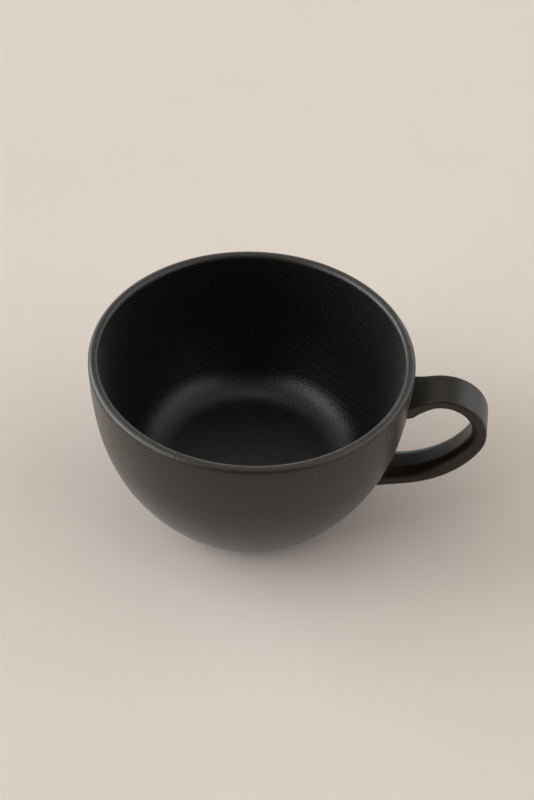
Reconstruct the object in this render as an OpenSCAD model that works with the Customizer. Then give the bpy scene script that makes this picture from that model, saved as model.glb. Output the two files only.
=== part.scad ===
// Low, round stoneware cup with a rounded rim, a strap handle and a dark satin glaze.
// Origin: the cup's axis on the table. +Z up, handle towards +X. Millimetres.

/* [Bowl] */
// outside diameter of the glazed rim
rim_d = 110; // [104:1:120]
// height of the rim's crest above the table
cup_h = 66; // [62:0.5:72]
// wall thickness, with both coats of glaze
wall_t = 3.6; // [3.0:0.1:4.6]
// radius of the slow curve below the rim
side_r = 164; // [130:1:220]
// angle that the side turns inwards before the belly starts
side_turn = 7.3; // [6:0.1:9]
// angle at which the belly runs into the heel
belly_turn = 40; // [36:0.5:44]
// radius of the heel, where the belly turns under
heel_r = 13.4; // [9:0.1:16]
// thickness of the base, with both coats of glaze
floor_t = 10.4; // [6:0.1:13]
// radius of the inside, where the wall turns into the floor
well_r = 15; // [10:0.5:22]

/* [Foot] */
// outside diameter of the foot ring
foot_d = 48; // [36:0.5:49]
// width of the ring that stands on the table
foot_w = 4; // [2.5:0.1:8]
// height of the foot ring
foot_h = 2; // [1.2:0.1:3]

/* [Glaze] */
// thickness of each coat of glaze
glaze_t = 0.4; // [0.2:0.05:0.6]
// angle on the heel where the outside coat stops
glaze_line = 70; // [50:1:84]

/* [Handle] */
// drop from the rim's crest to the strap's middle where it leaves the wall
handle_drop = 12.2; // [10:0.1:15]
// angle at which the strap rises from the wall
handle_rise = 24; // [15:0.5:30]
// length of the straight start of the strap
handle_start = 7; // [5:0.1:9]
// radius of the outer bend, at the strap's middle
bend_r = 12.6; // [11:0.1:15]
// angle that the outer bend turns through
bend_turn = 138.5; // [132:0.5:142]
// radius of the lower arm, at the strap's middle
arm_r = 35; // [31:0.1:40]
// width of the glazed strap
strap_w = 13.6; // [11:0.1:16]
// thickness of the glazed strap
strap_t = 5.4; // [4.4:0.1:6.4]
// radius of the crisp edges of the strap's outer face
strap_edge_r = 1; // [0.7:0.1:1.5]

/* [Joints] */
// how much the upper collar widens the strap on each side, at the wall
upper_flare_w = 2; // [0.5:0.1:3.5]
// how much the upper collar thickens the strap on its inner side, at the wall
upper_flare_t = 1.8; // [0.5:0.1:2.5]
// how much the lower collar widens the strap on each side, at the wall
lower_flare_w = 1.2; // [0.5:0.1:3.5]
// how much the lower collar thickens the strap on its inner side, at the wall
lower_flare_t = 0.5; // [0.2:0.1:1.5]
// how much a collar thickens the strap on its outer face, at the wall
outer_flare_t = 0.5; // [0.2:0.1:1.2]
// length of a collar along the strap
collar_len = 12; // [9:0.5:14]

/* [Hidden] */

$fn = 180;
CLAY = [0.24, 0.21, 0.19];
SLIP = [0.16, 0.15, 0.15];
GLAZE = [0.09, 0.09, 0.095];

// the rim is a half round on the wall's top edge
rim_r = rim_d / 2;
rim_round = wall_t / 2;
rim_c = [rim_r - rim_round, cup_h - rim_round];

// height of the glazed underside, if the outside coat ran on under the base
base_z = foot_h - glaze_t;
depth = rim_c[1] - base_z;

// the outside is three arcs in a row, each tangent to the next: side, belly and heel
// radii keep to a fine step, and centres are placed by a coarse step and a rest, so that arcs meet
fine_step = 0.001;
coarse_step = 0.01;
belly_r = snap((depth - side_r * sin(side_turn) - heel_r * (1 - sin(belly_turn)))
               / (sin(belly_turn) - sin(side_turn)), fine_step);
side_c = [rim_r - side_r, rim_c[1]];
belly_c = side_c + (side_r - belly_r) * below(side_turn);
heel_c = corner(heel_r, base_z, belly_r);
heel_turn = -polar(heel_c - belly_c);
side_end = side_c + side_r * below(side_turn);
belly_end = belly_c + belly_r * below(heel_turn);

// inside, the belly turns into the floor on an arc of its own
floor_z = base_z + floor_t;
well_c = corner(well_r, floor_z, belly_r - wall_t);
well_turn = -polar(well_c - belly_c);

// offsets of the layers, measured inwards from the glazed outside
clay_out = glaze_t;
clay_in = wall_t - glaze_t;
// reach of the cuts across the wall, outwards and inwards from the glazed outside
cut_out = rim_r;
cut_in = 2 * wall_t;

// how far the strap and its collars run on into the wall before they are trimmed
run_in = strap_w / 2;
// the straight start is a little slimmer than the bend, and ends inside it
start_ease = 0.1;
start_lap = 1;

// the strap's section has a flat outer face with two crisp edges, and an inner side that is nearly half
// round: its two wide edges take up most of the thickness that the crisp edges leave
inner_share = 0.95;
inner_r = snap(inner_share * (strap_t - strap_edge_r), coarse_step);
edge_c = [strap_t / 2 - strap_edge_r, strap_w / 2 - strap_edge_r];
inner_c = [inner_r - strap_t / 2, strap_w / 2 - inner_r];

// the strap's middle line: a straight start, the bend, then the lower arm
handle_z = cup_h - handle_drop;
start_p = [side_c[0] + sqrt(pow(side_r, 2) - pow(rim_c[1] - handle_z, 2)), handle_z];
bend_p = start_p + handle_start * along(handle_rise);
bend_c = bend_p + bend_r * right_of(handle_rise);
arm_dir = handle_rise - bend_turn;
arm_p = bend_c - bend_r * right_of(arm_dir);
arm_c = arm_p + arm_r * right_of(arm_dir);
arm_end = meet(arm_c, arm_r, belly_c, belly_r);
arm_turn = (polar(arm_p - arm_c) - polar(arm_end - arm_c) + 360) % 360;

bend_len = arc_len(bend_r, bend_turn);
arm_len = arc_len(arm_r, arm_turn);
strap_len = handle_start + bend_len + arm_len;
run_in_turn = arc_turn(arm_r, run_in);

// collars are drawn with this many steps along the strap and along each arc of its section
collar_steps = 10;
edge_steps = 3;
inner_steps = 6;
// room between a collar and the clay strap in it, out of the strap's coat of glaze
collar_room = glaze_t / 2;
// the higher the power, the more sharply a collar flares at the wall
collar_power = 2;

function below(a) = [cos(a), -sin(a)];
function along(a) = [cos(a), sin(a)];
function right_of(a) = [sin(a), -cos(a)];
function polar(v) = atan2(v[1], v[0]);
function arc_len(r, turn) = r * turn * PI / 180;
function arc_turn(r, length) = length * 180 / (PI * r);
function snap(v, step) = step * round(v / step);

// centre of an arc that stands on a height and touches the belly, of a given radius, from inside
function corner(r, low, belly) =
    [belly_c[0] + sqrt(pow(belly - r, 2) - pow(belly_c[1] - low - r, 2)), low + r];

// the lower crossing of two circles
function meet(c1, r1, c2, r2) =
    let (d = norm(c2 - c1),
         u = (c2 - c1) / d,
         s = (pow(r1, 2) - pow(r2, 2) + pow(d, 2)) / (2 * d),
         h = sqrt(pow(r1, 2) - pow(s, 2)),
         p = c1 + s * u,
         q = h * [-u[1], u[0]])
    p[1] + q[1] < p[1] - q[1] ? p + q : p - q;

// direction and place of the strap's middle line at a distance along it from the upper wall
function strap_dir(at) =
    at < handle_start ? handle_rise
    : at < handle_start + bend_len ? handle_rise - arc_turn(bend_r, at - handle_start)
    : arm_dir - arc_turn(arm_r, at - handle_start - bend_len);
function strap_at(at) =
    at < handle_start ? start_p + at * along(handle_rise)
    : at < handle_start + bend_len ? bend_c - bend_r * right_of(strap_dir(at))
    : arm_c - arm_r * right_of(strap_dir(at));

// share of the flare at a distance from the wall: all of it at the wall, none at the collar's end
function flare(out) = pow(1 - max(0, min(1, out / collar_len)), collar_power);

// points round a quarter of a circle, and round the strap's section moved inwards by an inset
function quarter(c, r, from, steps) = [for (i = [0 : steps]) c + r * along(from + 90 * i / steps)];
function outline(inset) =
    let (half = concat(quarter(edge_c, strap_edge_r - inset, 0, edge_steps),
                       quarter(inner_c, inner_r - inset, 90, inner_steps)))
    concat(half, [for (i = [len(half) - 1 : -1 : 0]) [half[i][0], -half[i][1]]]);

// one ring of points round the strap at a distance, scaled outwards, inwards and sideways
function ring(at, inset, out_scale, in_scale, wide_scale) =
    let (p = strap_at(at), up = -right_of(strap_dir(at)))
    [for (q = outline(inset))
        let (out = q[0] * (q[0] > 0 ? out_scale : in_scale))
        [p[0] + out * up[0], q[1] * wide_scale, p[1] + out * up[1]]];

module disc(c, r) {
    coarse = [for (v = c) snap(v, coarse_step)];
    translate(coarse)
        translate(c - coarse)
            circle(r = r);
}

// a line across the wall, from well outside it to well inside it, through a point on the glazed outside
function cut(p, a) = [p + cut_out * below(a), p - cut_in * below(a)];

// the part of a ring between two cuts; neighbours share a cut, so no gap is left between them
module ring_sector(c, r_out, r_in, from, to) {
    intersection() {
        difference() {
            disc(c, r_out);
            disc(c, r_in);
        }
        polygon([from[0], from[1], to[1], to[0]]);
    }
}

// half section of a layer of the wall between two offsets, down to an angle on the heel
module layer(near, far, heel_stop) {
    rim_cut = cut([rim_r, rim_c[1]], 0);
    side_cut = cut(side_end, side_turn);
    belly_cut = cut(belly_end, heel_turn);
    heel_cut = cut(heel_c + heel_r * below(heel_stop), heel_stop);
    ring_sector(side_c, side_r - near, side_r - far, rim_cut, side_cut);
    ring_sector(belly_c, belly_r - near, belly_r - far, side_cut, belly_cut);
    ring_sector(heel_c, heel_r - near, heel_r - far, belly_cut, heel_cut);
}

// one half of the coat over the rim's half round: the outer half, or the inner half with side = -1
module rim_coat(side) {
    translate(rim_c)
        intersection() {
            difference() {
                circle(r = rim_round);
                circle(r = rim_round - glaze_t);
            }
            mirror([side < 0 ? 1 : 0, 0])
                square(rim_round);
        }
}

// the part of a disc between two heights, from the axis outwards
module slab(c, r, low, high) {
    intersection() {
        disc(c, r);
        polygon([[0, low], [rim_d, low], [rim_d, high], [0, high]]);
    }
}

// half section of all that lies inside an offset, up to the rim; the corner is the heel or the well
module filled(inset, corner_c, corner_r, corner_turn) {
    side_z = side_c[1] - (side_r - inset) * sin(side_turn);
    belly_z = belly_c[1] - (belly_r - inset) * sin(corner_turn);
    low = corner_c[1] - corner_r;
    slab(side_c, side_r - inset, side_z, rim_c[1]);
    slab(belly_c, belly_r - inset, belly_z, side_z);
    slab(corner_c, corner_r, low - wall_t, belly_z);
    polygon([[0, low], [corner_c[0], low], [corner_c[0], belly_z], [0, belly_z]]);
}

// the cup's hollow, out to an offset from the glazed outside
module hollow(inset) {
    filled(inset, well_c, well_r + wall_t - inset, well_turn);
}

// everything inside an offset from the glazed outside, for trimming the strap
module core(inset) {
    rotate_extrude()
        filled(inset, heel_c, heel_r - inset, heel_turn);
}

// the strap's section, outwards along x, moved inwards by an inset
module strap_section(inset) {
    half_t = strap_t / 2 - inset;
    half_w = strap_w / 2 - inset;
    translate([-half_t, -inner_c[1]])
        square([2 * half_t, 2 * inner_c[1]]);
    translate([inner_c[0], -edge_c[1]])
        square([half_t - inner_c[0], 2 * edge_c[1]]);
    translate([inner_c[0], -half_w])
        square([edge_c[0] - inner_c[0], 2 * half_w]);
    for (y = [-1, 1]) {
        translate([edge_c[0], y * edge_c[1]])
            circle(r = strap_edge_r - inset);
        mirror([0, y < 0 ? 1 : 0])
            translate(inner_c)
                intersection() {
                    circle(r = inner_r - inset);
                    translate([-inner_r, 0])
                        square(inner_r);
                }
    }
}

// sweeps the bend back and the arm on from the plane where they meet, each through its own angle
module strap_arcs(bend_angle, arm_angle) {
    translate([arm_p[0], 0, arm_p[1]])
        rotate([90, 0, 0])
            rotate([0, 0, arm_dir + 90]) {
                translate([-bend_r, 0, 0])
                    rotate_extrude(angle = bend_angle)
                        translate([bend_r, 0])
                            children();
                mirror([0, 1, 0])
                    translate([-arm_r, 0, 0])
                        rotate_extrude(angle = arm_angle)
                            translate([arm_r, 0])
                                children();
            }
}

// the clay strap, run on into the wall at both ends
module strap() {
    p = strap_at(-run_in);
    translate([p[0], 0, p[1]])
        rotate([0, 90 - handle_rise, 0])
            linear_extrude(height = run_in + handle_start + start_lap)
                mirror([1, 0])
                    strap_section(glaze_t + start_ease);
    strap_arcs(bend_turn, arm_turn + run_in_turn)
        strap_section(glaze_t);
}

// a block over the end of the strap, from a distance along it backwards (-1) or onwards (0)
module end_block(at, side) {
    p = strap_at(at);
    length = collar_len + 2 * run_in;
    translate([p[0], 0, p[1]])
        rotate([0, -strap_dir(at), 0])
            translate([side * length, -strap_w, -strap_w])
                cube([length, 2 * strap_w, 2 * strap_w]);
}

// hollow solid between two lists of rings, the outer one first, closed at both ends
module sleeve(outer, inner) {
    n = len(outer[0]);
    last = (len(outer) - 1) * n;
    hole = len(outer) * n;
    polyhedron(
        points = [for (r = concat(outer, inner)) each r],
        faces = [for (i = [0 : n - 1])
            let (j = (i + 1) % n)
            each concat(
                [for (k = [0 : n : last - n])
                    each [[k + i, k + n + i, k + n + j], [k + i, k + n + j, k + j],
                          [hole + k + i, hole + k + n + j, hole + k + n + i],
                          [hole + k + i, hole + k + j, hole + k + n + j]]],
                [[i, j, hole + j], [i, hole + j, hole + i]],
                [[last + j, last + i, hole + last + i], [last + j, hole + last + i, hole + last + j]])]);
}

// flared sleeve round the strap's upper or lower end, from inside the wall to the collar's end
module collar(upper) {
    run = concat([-run_in], [for (i = [0 : collar_steps]) collar_len * i / collar_steps]);
    steps = upper ? run : [for (i = [len(run) - 1 : -1 : 0]) run[i]];
    wide = 2 * (upper ? upper_flare_w : lower_flare_w) / strap_w;
    inner = 2 * (upper ? upper_flare_t : lower_flare_t) / strap_t;
    outer = 2 * outer_flare_t / strap_t;
    sleeve([for (s = steps)
               let (f = flare(s))
               ring(upper ? s : strap_len - s, 0, 1 + f * outer, 1 + f * inner, 1 + f * wide)],
           [for (s = steps)
               ring(upper ? s : strap_len - s, glaze_t - collar_room, 1, 1, 1)]);
}

module bowl() {
    color(CLAY)
        rotate_extrude() {
            difference() {
                filled(clay_out, heel_c, heel_r - clay_out, heel_turn);
                hollow(clay_in);
            }
            intersection() {
                translate(rim_c)
                    circle(r = rim_round - glaze_t);
                translate([rim_c[0] - rim_round, rim_c[1]])
                    square([wall_t, rim_round]);
            }
        }
}

module foot_ring() {
    color(CLAY)
        rotate_extrude()
            translate([foot_d / 2 - foot_w, 0])
                square([foot_w, foot_h]);
}

module base_glaze() {
    color(GLAZE)
        translate([0, 0, base_z])
            cylinder(r = foot_d / 2 - foot_w, h = glaze_t);
}

module liner_glaze() {
    color(GLAZE)
        rotate_extrude() {
            rim_coat(-1);
            difference() {
                hollow(clay_in);
                hollow(wall_t);
            }
        }
}

module outer_glaze() {
    color(GLAZE)
        difference() {
            rotate_extrude() {
                rim_coat(1);
                layer(0, clay_out, glaze_line);
            }
            strap();
        }
}

module handle() {
    color(CLAY)
        difference() {
            strap();
            core(clay_out);
        }
}

module upper_joint() {
    color(SLIP)
        difference() {
            collar(true);
            core(0);
        }
}

module lower_joint() {
    color(SLIP)
        difference() {
            collar(false);
            core(0);
        }
}

module handle_glaze() {
    color(GLAZE)
        difference() {
            strap_arcs(bend_turn, arm_turn + run_in_turn)
                difference() {
                    strap_section(0);
                    strap_section(glaze_t);
                }
            end_block(collar_len, -1);
            end_block(strap_len - collar_len, 0);
        }
}

bowl();
foot_ring();
base_glaze();
liner_glaze();
outer_glaze();
handle();
upper_joint();
lower_joint();
handle_glaze();
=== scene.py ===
"""Looks of a low, round stoneware cup: satin glaze, bare clay, studio light and camera.

Lengths are in metres, in the CAD frame, unless a comment says otherwise.
"""

import math

import bpy
from mathutils import Matrix, Vector


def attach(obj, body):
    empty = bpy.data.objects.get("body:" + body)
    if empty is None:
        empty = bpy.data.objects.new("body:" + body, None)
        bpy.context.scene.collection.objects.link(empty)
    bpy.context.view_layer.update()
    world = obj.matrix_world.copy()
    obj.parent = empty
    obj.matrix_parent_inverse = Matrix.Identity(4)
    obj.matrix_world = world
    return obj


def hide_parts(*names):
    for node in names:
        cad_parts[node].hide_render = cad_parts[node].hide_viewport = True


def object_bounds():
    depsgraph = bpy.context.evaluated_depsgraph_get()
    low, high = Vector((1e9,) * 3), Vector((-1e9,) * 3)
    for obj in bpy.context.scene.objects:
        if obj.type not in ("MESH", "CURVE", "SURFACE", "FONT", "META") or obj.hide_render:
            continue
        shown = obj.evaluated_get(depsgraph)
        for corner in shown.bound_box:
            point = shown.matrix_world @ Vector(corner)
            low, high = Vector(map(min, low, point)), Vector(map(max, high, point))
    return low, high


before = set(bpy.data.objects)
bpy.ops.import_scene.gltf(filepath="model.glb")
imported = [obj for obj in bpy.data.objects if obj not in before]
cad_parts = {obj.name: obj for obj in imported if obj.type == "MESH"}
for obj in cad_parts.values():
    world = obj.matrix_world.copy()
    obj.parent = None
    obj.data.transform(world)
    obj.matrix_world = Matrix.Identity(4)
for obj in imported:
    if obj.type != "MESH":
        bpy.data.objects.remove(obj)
cad_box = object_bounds()
scene = bpy.context.scene
MM = 0.001

# Camera: fitted to the ellipses of the rim, so that the picture has the photograph's frame.
# The sensor is in millimetres and spans the picture's height. Angles are in radians.
IMAGE_H = 800
FOCAL_PX = 1400
SENSOR = 36
ELEVATION = 0.74224
DISTANCE = 0.47105
YAW, PITCH, ROLL = 0.01148, -0.03152, 0.03037
TURN = math.radians(8)
AIM = Vector((0, 0, 0.0642))


def add_camera():
    """It looks at the cup's axis near the rim's height, then turns a little by yaw, pitch and roll."""
    back = Vector((0, -math.cos(ELEVATION), math.sin(ELEVATION)))
    right = Vector((1, 0, 0))
    up = back.cross(right)
    forward = -back * math.cos(YAW) + right * math.sin(YAW)
    right = forward.cross(up)
    forward, up = (
        forward * math.cos(PITCH) + up * math.sin(PITCH),
        up * math.cos(PITCH) - forward * math.sin(PITCH),
    )
    right, up = (
        right * math.cos(ROLL) + up * math.sin(ROLL),
        up * math.cos(ROLL) - right * math.sin(ROLL),
    )
    axes = Matrix((right, up, -forward)).transposed().to_4x4()
    place = Matrix.Rotation(TURN, 4, "Z") @ Matrix.Translation(AIM + back * DISTANCE)
    data = bpy.data.cameras.new("camera")
    data.sensor_width = SENSOR
    data.lens = FOCAL_PX * SENSOR / IMAGE_H
    camera = bpy.data.objects.new("camera", data)
    camera.matrix_world = place @ axes
    scene.collection.objects.link(camera)
    scene.camera = camera


add_camera()


# Materials: noise varies the colour of each, and the roughness and bump of the glaze and the clay
BLACK, BLACK_SPECK = (0.006, 0.0058, 0.0056), (0.028, 0.028, 0.028)
# the outside's glaze is the same black glaze, tinted brown as a painted reflection of the warm floor
WARM_REFLECTION_BLACK, WARM_REFLECTION_SPECK = (0.013, 0.0085, 0.003), (0.03, 0.025, 0.018)
# painted highlight: a paler warm grey mixed into the glaze's colour at the rim's top
RIM_PAINTED_HIGHLIGHT = (0.026, 0.020, 0.015)
DARK_CLAY, PALE_CLAY = (0.17, 0.12, 0.085), (0.27, 0.20, 0.15)
DARK_FLOOR, PALE_FLOOR = (0.608, 0.522, 0.457), (0.627, 0.541, 0.476)
CREST_Z = cad_box[1][2]
PAINTED_HIGHLIGHT_BAND = 2 * MM
GRAIN_SIZE = 0.8 * MM
GLAZE_FLOW_SIZE = 14 * MM
CLAY_CLOUD_SIZE = 9 * MM
FLOOR_CLOUD_SIZE = 120 * MM
BUMP_DEPTH = 0.2 * MM
# most of the noise lies between these values
NOISE_LOW, NOISE_HIGH = 0.3, 0.7
# places of the colour sockets on a Mix node
MIX_FIRST, MIX_SECOND, MIX_RESULT = 6, 7, 2


def new_material(name):
    material = bpy.data.materials.new(name)
    material.use_nodes = True
    tree = material.node_tree
    return material, tree, tree.nodes["Principled BSDF"]


def object_coords(tree):
    return tree.nodes.new("ShaderNodeTexCoord").outputs["Object"]


def noise(tree, coords, size, detail=3, roughness=0.5):
    """Noise whose blobs are about as large as size."""
    node = tree.nodes.new("ShaderNodeTexNoise")
    node.inputs["Scale"].default_value = 1 / size
    node.inputs["Detail"].default_value = detail
    node.inputs["Roughness"].default_value = roughness
    tree.links.new(coords, node.inputs["Vector"])
    return node.outputs["Fac"]


def ramp(tree, value, stops):
    """Colours at the stops, and an even change between them, by a value from 0 to 1."""
    node = tree.nodes.new("ShaderNodeValToRGB")
    elements = node.color_ramp.elements
    while len(elements) < len(stops):
        elements.new(0.5)
    for element, (at, colour) in zip(elements, stops):
        element.position = at
        element.color = (*colour, 1)
    tree.links.new(value, node.inputs["Fac"])
    return node.outputs["Color"]


def spread(tree, value, low, high, to_low, to_high):
    """Maps the span from low to high onto the span from to_low to to_high, and holds its ends."""
    node = tree.nodes.new("ShaderNodeMapRange")
    limits = {"From Min": low, "From Max": high, "To Min": to_low, "To Max": to_high}
    for key, number in limits.items():
        node.inputs[key].default_value = number
    tree.links.new(value, node.inputs["Value"])
    return node.outputs["Result"]


def spread_noise(tree, value, to_low, to_high):
    return spread(tree, value, NOISE_LOW, NOISE_HIGH, to_low, to_high)


def blend(tree, share, first, second):
    """Goes from one colour, a link, to another, a constant, as share goes from 0 to 1."""
    node = tree.nodes.new("ShaderNodeMix")
    node.data_type = "RGBA"
    tree.links.new(share, node.inputs["Factor"])
    tree.links.new(first, node.inputs[MIX_FIRST])
    node.inputs[MIX_SECOND].default_value = (*second, 1)
    return node.outputs[MIX_RESULT]


def add_up(tree, first, second):
    node = tree.nodes.new("ShaderNodeMath")
    node.operation = "ADD"
    tree.links.new(first, node.inputs[0])
    tree.links.new(second, node.inputs[1])
    return node.outputs["Value"]


def bump(tree, shader, height, strength):
    node = tree.nodes.new("ShaderNodeBump")
    node.inputs["Strength"].default_value = strength
    node.inputs["Distance"].default_value = BUMP_DEPTH
    tree.links.new(height, node.inputs["Height"])
    tree.links.new(node.outputs["Normal"], shader.inputs["Normal"])


def glaze_material(name, body, speck):
    """Dark satin glaze with a fine grain, painted paler on the rim's top as a highlight."""
    material, tree, shader = new_material(name)
    coords = object_coords(tree)
    grain = noise(tree, coords, GRAIN_SIZE, roughness=0.6)
    flow = noise(tree, coords, GLAZE_FLOW_SIZE)
    darker = [0.6 * channel for channel in body]
    colour = ramp(tree, grain, [(0.3, darker), (0.62, body), (0.78, speck)])
    height = tree.nodes.new("ShaderNodeSeparateXYZ")
    tree.links.new(coords, height.inputs["Vector"])
    # painted highlight: the colour turns paler over the top 2 mm of the rim
    rim_highlight_share = spread(tree, height.outputs["Z"], CREST_Z - PAINTED_HIGHLIGHT_BAND, CREST_Z, 0, 1)
    tree.links.new(blend(tree, rim_highlight_share, colour, RIM_PAINTED_HIGHLIGHT), shader.inputs["Base Color"])
    fine_gloss = spread_noise(tree, grain, 0.29, 0.39)
    slow_gloss = spread_noise(tree, flow, -0.02, 0.02)
    tree.links.new(add_up(tree, fine_gloss, slow_gloss), shader.inputs["Roughness"])
    shader.inputs["IOR"].default_value = 1.45
    shader.inputs["Sheen Weight"].default_value = 0.12
    shader.inputs["Sheen Roughness"].default_value = 0.35
    bump(tree, shader, grain, strength=0.5)
    return material


def clay_material():
    """Bare, fired clay: warm grey-brown, matt and sandy."""
    material, tree, shader = new_material("bare_clay")
    coords = object_coords(tree)
    grain = noise(tree, coords, GRAIN_SIZE, detail=4, roughness=0.65)
    cloud = noise(tree, coords, CLAY_CLOUD_SIZE)
    sand = spread_noise(tree, grain, 0, 0.6)
    patches = spread_noise(tree, cloud, 0, 0.4)
    colour = ramp(tree, add_up(tree, sand, patches), [(0.1, DARK_CLAY), (0.9, PALE_CLAY)])
    tree.links.new(colour, shader.inputs["Base Color"])
    tree.links.new(spread_noise(tree, grain, 0.78, 0.92), shader.inputs["Roughness"])
    bump(tree, shader, grain, strength=0.4)
    return material


def floor_material():
    """Plain, pale and matt, with faint clouds."""
    material, tree, shader = new_material("pale_floor")
    cloud = noise(tree, object_coords(tree), FLOOR_CLOUD_SIZE)
    colour = ramp(tree, cloud, [(0.2, DARK_FLOOR), (0.8, PALE_FLOOR)])
    tree.links.new(colour, shader.inputs["Base Color"])
    shader.inputs["Roughness"].default_value = 0.9
    shader.inputs["Specular IOR Level"].default_value = 0.2
    return material


def dress(piece, material):
    piece.data.materials.clear()
    piece.data.materials.append(material)


inner_glaze = glaze_material("black_glaze", BLACK, BLACK_SPECK)
# the outside: black glaze with a painted warm reflection of the floor in its colour
outer_glaze = glaze_material("black_glaze_warm_reflection", WARM_REFLECTION_BLACK, WARM_REFLECTION_SPECK)
clay = clay_material()
dress(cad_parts["liner_glaze"], inner_glaze)
for name in ("base_glaze", "outer_glaze", "handle_glaze"):
    dress(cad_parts[name], outer_glaze)
for name in ("bowl", "foot_ring", "handle"):
    dress(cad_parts[name], clay)


# Collars: the strap's two ends, flared smoothly into the wall.
# Lengths here are in millimetres and angles in degrees. The strap's middle line lies in the XZ plane.
# The sizes repeat the part's source, but WIDE_POWER makes the sideways flare sharper than in the solids.
SIDE_C, SIDE_R = (-109, 64.2), 164
BELLY_C, BELLY_R = (-17.443, 52.471), 71.695
SIDE_END_Z = 43.361
HANDLE_Z = 53.8
RISE, START_LEN = 24, 7
BEND_R, BEND_TURN = 12.6, 138.5
ARM_R = 35
STRAP_W, STRAP_T = 13.6, 5.4
EDGE_R, INNER_R = 1, 4.18
COLLAR_LEN, FLARE_POWER, WIDE_POWER = 12, 2, 3
OUTER_FLARE = 0.5
UPPER_FLARE = {"wide": 2, "inner": 1.8}
LOWER_FLARE = {"wide": 1.2, "inner": 0.5}
BEND_LEN = BEND_R * math.radians(BEND_TURN)
# how deep a collar starts in the wall
SUNK = 0.4
# how far along the strap that start is searched for, before and after the middle line's own end
SEARCH = 9
HALVINGS = 40
# above 1, a collar's rows lie closer together near the wall
CROWDING = 1.5


def wall_x(z):
    """Radius of the cup's outside at a height."""
    (x, height), r = (SIDE_C, SIDE_R) if z > SIDE_END_Z else (BELLY_C, BELLY_R)
    return x + math.sqrt(r * r - (z - height) ** 2)


def wall_gap(point):
    return math.hypot(point.x, point.y) - wall_x(point.z)


def heading(angle):
    return Vector((math.cos(math.radians(angle)), math.sin(math.radians(angle))))


def outward(angle):
    """Away from the handle's hole, square to a heading."""
    return Vector((-math.sin(math.radians(angle)), math.cos(math.radians(angle))))


START = Vector((wall_x(HANDLE_Z), HANDLE_Z))
BEND_C = START + START_LEN * heading(RISE) - BEND_R * outward(RISE)
ARM_DIR = RISE - BEND_TURN
ARM_C = BEND_C + (BEND_R - ARM_R) * outward(ARM_DIR)


def strap_at(distance):
    """The strap's middle line and its heading, at a distance along it from the upper wall."""
    if distance < START_LEN:
        return START + distance * heading(RISE), RISE
    if distance < START_LEN + BEND_LEN:
        angle = RISE - math.degrees((distance - START_LEN) / BEND_R)
        return BEND_C + BEND_R * outward(angle), angle
    angle = ARM_DIR - math.degrees((distance - START_LEN - BEND_LEN) / ARM_R)
    return ARM_C + ARM_R * outward(angle), angle


def crossing(low, high, gap):
    """Where a rising function of one number passes zero."""
    for _ in range(HALVINGS):
        middle = (low + high) / 2
        low, high = (low, middle) if gap(middle) > 0 else (middle, high)
    return high


def strap_length():
    """From the upper wall to the place where the lower arm runs into the wall."""
    def inside(distance):
        point, _ = strap_at(distance)
        return wall_x(point.y) - point.x

    return crossing(START_LEN + BEND_LEN, START_LEN + BEND_LEN + 2 * ARM_R, inside)


STRAP_LEN = strap_length()


def strap_outline(face_steps=6, edge_steps=8, inner_steps=14):
    """Points round the strap's section: outwards and sideways."""
    edge = Vector((STRAP_T / 2 - EDGE_R, STRAP_W / 2 - EDGE_R))
    inner = Vector((INNER_R - STRAP_T / 2, STRAP_W / 2 - INNER_R))
    half = [Vector((STRAP_T / 2, edge.y * i / face_steps)) for i in range(face_steps)]
    half += [edge + EDGE_R * heading(90 * i / edge_steps) for i in range(edge_steps + 1)]
    half += [inner + INNER_R * heading(90 + 90 * i / inner_steps) for i in range(inner_steps + 1)]
    half.append(Vector((-STRAP_T / 2, 0)))
    return half + [Vector((q.x, -q.y)) for q in reversed(half[1:-1])]


def add_collar(name, node, upper, steps=28):
    """A smooth collar that starts just inside the wall and ends flush with the strap."""
    flare = UPPER_FLARE if upper else LOWER_FLARE

    def point(s, q):
        left = 1 - min(max(s / COLLAR_LEN, 0), 1)
        thicker = OUTER_FLARE if q.x > 0 else flare["inner"]
        out = q.x * (1 + left ** FLARE_POWER * thicker / (STRAP_T / 2))
        side = q.y * (1 + left ** WIDE_POWER * flare["wide"] / (STRAP_W / 2))
        middle, angle = strap_at(s if upper else STRAP_LEN - s)
        place = middle + out * outward(angle)
        return Vector((place.x, side, place.y))

    outline = strap_outline()
    count = len(outline)
    starts = [crossing(-SEARCH, SEARCH, lambda s, q=q: wall_gap(point(s, q)) + SUNK) for q in outline]
    verts = []
    for k in range(steps + 1):
        share = (k / steps) ** CROWDING
        verts += [point(s + (COLLAR_LEN - s) * share, q) * MM for s, q in zip(starts, outline)]
    faces = []
    for k in range(steps):
        for i in range(count):
            j = (i + 1) % count
            face = [k * count + i, k * count + j, (k + 1) * count + j, (k + 1) * count + i]
            faces.append(face if upper else face[::-1])
    mesh = bpy.data.meshes.new(name)
    mesh.from_pydata(verts, [], faces)
    mesh.shade_smooth()
    piece = bpy.data.objects.new(name, mesh)
    scene.collection.objects.link(piece)
    dress(piece, outer_glaze)
    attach(piece, "root")
    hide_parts(node)


add_collar("upper_collar", "upper_joint", True)
add_collar("lower_collar", "lower_joint", False)


# Floor and light. The lights' heights are in degrees
FLOOR_SIZE = 8
SOFTNESS = math.radians(28)
COOL, WARM = (0.93, 1, 1.06), (1, 0.93, 0.84)
LOW, MID, HIGH, TOP = 12, 35, 57, 88
RING = range(-135, 136, 45)


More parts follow.
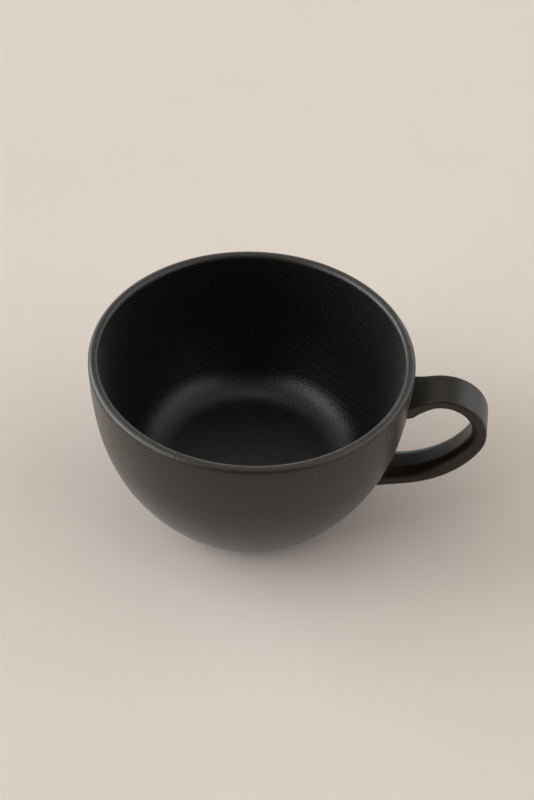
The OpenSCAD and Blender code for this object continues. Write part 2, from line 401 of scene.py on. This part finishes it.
def add_floor():
    mesh = bpy.data.meshes.new("floor")
    half = FLOOR_SIZE / 2
    corners = [(-half, -half, 0), (half, -half, 0), (half, half, 0), (-half, half, 0)]
    mesh.from_pydata(corners, [], [(0, 1, 2, 3)])
    floor = bpy.data.objects.new("floor", mesh)
    scene.collection.objects.link(floor)
    dress(floor, floor_material())


def add_lights(name, azimuths, elevation, strength, colour):
    """Wide soft lights, placed in degrees.

    Azimuth 0 is behind the cup as the camera sees it, 90 to the right and -90 to the left.
    """
    for azimuth in azimuths:
        data = bpy.data.lights.new(f"{name}_{azimuth}", "SUN")
        data.energy = strength
        data.angle = SOFTNESS
        data.color = colour
        light = bpy.data.objects.new(data.name, data)
        a = math.radians(90 - azimuth) + TURN
        e = math.radians(elevation)
        towards = Vector((math.cos(a) * math.cos(e), math.sin(a) * math.cos(e), math.sin(e)))
        light.rotation_euler = towards.to_track_quat("Z", "Y").to_euler()
        scene.collection.objects.link(light)


def add_world():
    """A very faint, warm light from all round."""
    world = bpy.data.worlds.new("world")
    world.use_nodes = True
    backdrop = world.node_tree.nodes["Background"]
    backdrop.inputs["Color"].default_value = (1, 0.96, 0.91, 1)
    backdrop.inputs["Strength"].default_value = 0.025
    scene.world = world


add_floor()
# wide, cool light from the left, a weaker strip from the back to the right, a soft ring above, a dark front
add_lights("low_left", [-90], LOW, 1.4, COOL)
add_lights("low_back_left", [-60], LOW, 1.1, COOL)
add_lights("low_front_left", [-120], LOW, 0.65, COOL)
add_lights("low_back", [-30, 0, 30], LOW, 0.3, COOL)
add_lights("low_right", [60, 90, 120], LOW, 0.23, COOL)
add_lights("mid_left", [-90], MID, 0.76, COOL)
add_lights("mid_front_left", [-120], MID, 0.62, COOL)
add_lights("mid_back_left", [-60], MID, 0.46, COOL)
add_lights("mid_right", [60, 90, 120], MID, 0.36, COOL)
add_lights("upper_ring", RING, HIGH, 0.15, WARM)
add_lights("top", [0], TOP, 0.22, WARM)
add_world()
scene.view_settings.view_transform = "Standard"
